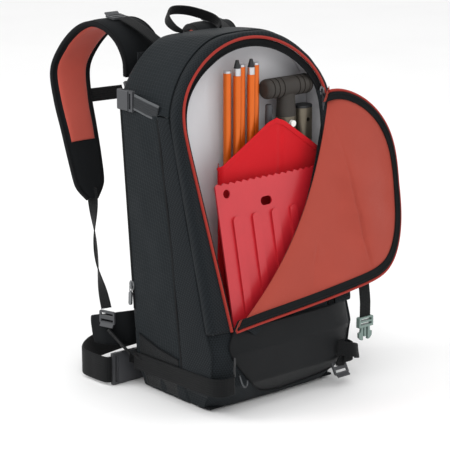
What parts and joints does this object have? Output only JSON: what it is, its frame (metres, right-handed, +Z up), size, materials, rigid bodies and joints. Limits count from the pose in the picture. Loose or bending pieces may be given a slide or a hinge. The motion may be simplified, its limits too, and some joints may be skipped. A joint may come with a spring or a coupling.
{
  "type": "ski touring backpack",
  "caption": "Snow-safety backpack with a fold-down zipped front panel, shovel and probe in a tool compartment, padded shoulder straps, chest strap, hip belt and haul loop.",
  "frame": {"origin": "centre of the flat base face, on the surface the pack stands on", "axes": "+X to the wearer's right, +Y towards the wearer's back, +Z up; the front opening faces -Y"},
  "size_m": [0.4122, 0.3692, 0.5212],
  "materials": {
    "body_fabric": "matte",
    "dark_fabric": "matte",
    "coral_fabric": "matte",
    "grey_lining": "matte",
    "red_fabric": "matte",
    "webbing_black": "matte",
    "webbing_grey": "matte",
    "piping_red": "matte",
    "zip_tape": "matte",
    "foam": "matte",
    "plastic_black": "matte",
    "plastic_grey": "matte",
    "plastic_green_grey": "matte",
    "frame_plastic": "matte",
    "blade_red": "satin",
    "shaft_alloy": "anodised",
    "probe_orange": "anodised",
    "silver": "brushed",
    "grip": "matte",
    "button_white": "matte",
    "zip_metal": "satin",
    "wire": "matte"
  },
  "bodies": {
    "pack": {"base_panel": "dark_fabric", "side_panel_left": "body_fabric", "side_panel_right": "body_fabric", "lower_front_panel": "dark_fabric", "crown_panel": "body_fabric", "front_frame": "body_fabric", "zipped_panel": "dark_fabric", "front_zip": "piping_red", "divider_panel": "grey_lining", "compartment_lining": "grey_lining", "tool_sleeve": "red_fabric", "back_zip_tape": "zip_tape", "lower_locks": "plastic_grey", "side_straps": "webbing_black", "upper_side_buckles": "plastic_grey", "ski_loop": "webbing_black", "tool_cord": "webbing_black", "lumbar_pad": "dark_fabric"},
    "back_panel": {"back_panel": "body_fabric", "frame_sheet": "frame_plastic", "back_foam": "foam", "yoke": "foam", "shoulder_strap_left": "dark_fabric", "shoulder_strap_right": "dark_fabric", "strap_linings": "coral_fabric", "lifter_webbing": "webbing_black", "lifter_locks": "plastic_grey", "lower_webbing": "webbing_black"},
    "flap": {"flap_panel": "coral_fabric", "flap_zip": "zip_tape"},
    "flap_strap": {"flap_strap": "webbing_black", "flap_buckle": "plastic_green_grey"},
    "flap_prong_left": {"flap_prong_left": "plastic_green_grey"},
    "flap_prong_right": {"flap_prong_right": "plastic_green_grey"},
    "zip_slider": {"zip_slider": "zip_metal"},
    "zip_pull": {"zip_pull": "plastic_grey"},
    "back_zip_slider": {"back_zip_slider": "zip_metal"},
    "sternum": {"sternum_webbing": "webbing_black", "sternum_clips": "plastic_black", "sternum_buckle_male": "plastic_grey", "sternum_buckle_female": "plastic_grey"},
    "sternum_prong_a": {"sternum_prong_a": "plastic_grey"},
    "sternum_prong_b": {"sternum_prong_b": "plastic_grey"},
    "hip_belt": {"hip_belt": "webbing_black", "hip_buckle_male": "plastic_black", "hip_buckle_female": "plastic_black"},
    "hip_prong_a": {"hip_prong_a": "plastic_black"},
    "hip_prong_b": {"hip_prong_b": "plastic_black"},
    "haul_loop": {"haul_loop": "webbing_black"},
    "shovel_blade": {"shovel_blade": "blade_red"},
    "shovel_handle": {"shovel_grip": "grip", "upper_shaft": "shaft_alloy"},
    "push_button": {"push_button": "button_white"},
    "lower_shaft": {"lower_shaft": "shaft_alloy", "shaft_cap": "plastic_black"},
    "probe": {"probe_tubes": "probe_orange", "probe_ferrules": "silver", "probe_tips": "plastic_black", "probe_handle": "plastic_grey"},
    "wire_hook": {"wire_hook": "wire"}
  },
  "joints": [
    {"name": "back_panel_opens", "type": "hinge", "parent": "pack", "child": "back_panel", "pos_m": [0, 0.082, 0.114], "axis": [-1, 0, 0], "range_deg": [0, 50], "deforming": ["lower_webbing"]},
    {"name": "flap_folds", "type": "hinge", "parent": "pack", "child": "flap", "pos_m": [-0.093, -0.10087, 0.11825], "axis": [0.594, 0.1669, 0.787], "range_deg": [-176, 0]},
    {"name": "flap_strap_swings", "type": "hinge", "parent": "flap", "child": "flap_strap", "pos_m": [0.144, -0.1045, 0.158], "axis": [-1, 0, 0], "range_deg": [0, 60]},
    {"name": "flap_prong_left_presses", "type": "slide", "parent": "flap_strap", "child": "flap_prong_left", "axis": [1, 0, 0], "range_m": [0, 0.0022], "stiffness_N_per_m": 400},
    {"name": "flap_prong_right_presses", "type": "slide", "parent": "flap_strap", "child": "flap_prong_right", "axis": [-1, 0, 0], "range_m": [0, 0.0022], "stiffness_N_per_m": 400},
    {"name": "zip_slides", "type": "slide", "parent": "pack", "child": "zip_slider", "axis": [-0.1224, -0.2059, -0.9709], "range_m": [0, 0.16]},
    {"name": "zip_pull_lifts", "type": "hinge", "parent": "zip_slider", "child": "zip_pull", "pos_m": [0.12162, -0.03595, 0.40656], "axis": [0.9925, -0.0254, -0.1197], "range_deg": [-90, 0]},
    {"name": "back_zip_slides", "type": "slide", "parent": "pack", "child": "back_zip_slider", "axis": [-0.0416, 0.0325, 0.9986], "range_m": [0, 0.235]},
    {"name": "sternum_slides", "type": "slide", "parent": "back_panel", "child": "sternum", "axis": [0, 0.4691, 0.8832], "range_m": [-0.01, 0.01]},
    {"name": "sternum_prong_a_presses", "type": "slide", "parent": "sternum", "child": "sternum_prong_a", "axis": [0.0491, 0.4669, 0.8829], "range_m": [0, 0.0022], "stiffness_N_per_m": 400},
    {"name": "sternum_prong_b_presses", "type": "slide", "parent": "sternum", "child": "sternum_prong_b", "axis": [-0.0491, -0.4669, -0.8829], "range_m": [0, 0.0022], "stiffness_N_per_m": 400},
    {"name": "hip_belt_lifts", "type": "hinge", "parent": "pack", "child": "hip_belt", "pos_m": [0, 0.097, 0.044], "axis": [1, 0, 0], "range_deg": [0, 35]},
    {"name": "hip_prong_a_presses", "type": "slide", "parent": "hip_belt", "child": "hip_prong_a", "axis": [0, 0, 1], "range_m": [0, 0.003], "stiffness_N_per_m": 400},
    {"name": "hip_prong_b_presses", "type": "slide", "parent": "hip_belt", "child": "hip_prong_b", "axis": [0, 0, -1], "range_m": [0, 0.003], "stiffness_N_per_m": 400},
    {"name": "haul_loop_turns", "type": "hinge", "parent": "pack", "child": "haul_loop", "pos_m": [0, 0.08, 0.492], "axis": [-1, 0, 0], "range_deg": [-55, 10]},
    {"name": "blade_draws", "type": "slide", "parent": "pack", "child": "shovel_blade", "axis": [0, 0.2074, 0.9782], "range_m": [0, 0.045]},
    {"name": "handle_draws", "type": "slide", "parent": "pack", "child": "shovel_handle", "axis": [0, 0, 1], "range_m": [0, 0.005]},
    {"name": "button_presses", "type": "slide", "parent": "shovel_handle", "child": "push_button", "axis": [0, 1, 0], "range_m": [0, 0.002], "stiffness_N_per_m": 400},
    {"name": "lower_shaft_draws", "type": "slide", "parent": "pack", "child": "lower_shaft", "axis": [0, 0, 1], "range_m": [0, 0.004]},
    {"name": "probe_draws", "type": "slide", "parent": "pack", "child": "probe", "axis": [0, 0, 1], "range_m": [0, 0.006]},
    {"name": "wire_hook_swings", "type": "hinge", "parent": "pack", "child": "wire_hook", "pos_m": [-0.088, -0.1036, 0.057], "axis": [-1, 0, 0], "range_deg": [0, 30]}
  ],
  "couplings": [
    {"joint": "flap_prong_right_presses", "follows": "flap_prong_left_presses", "ratio": 1},
    {"joint": "sternum_prong_b_presses", "follows": "sternum_prong_a_presses", "ratio": 1},
    {"joint": "hip_prong_b_presses", "follows": "hip_prong_a_presses", "ratio": 1}
  ]
}
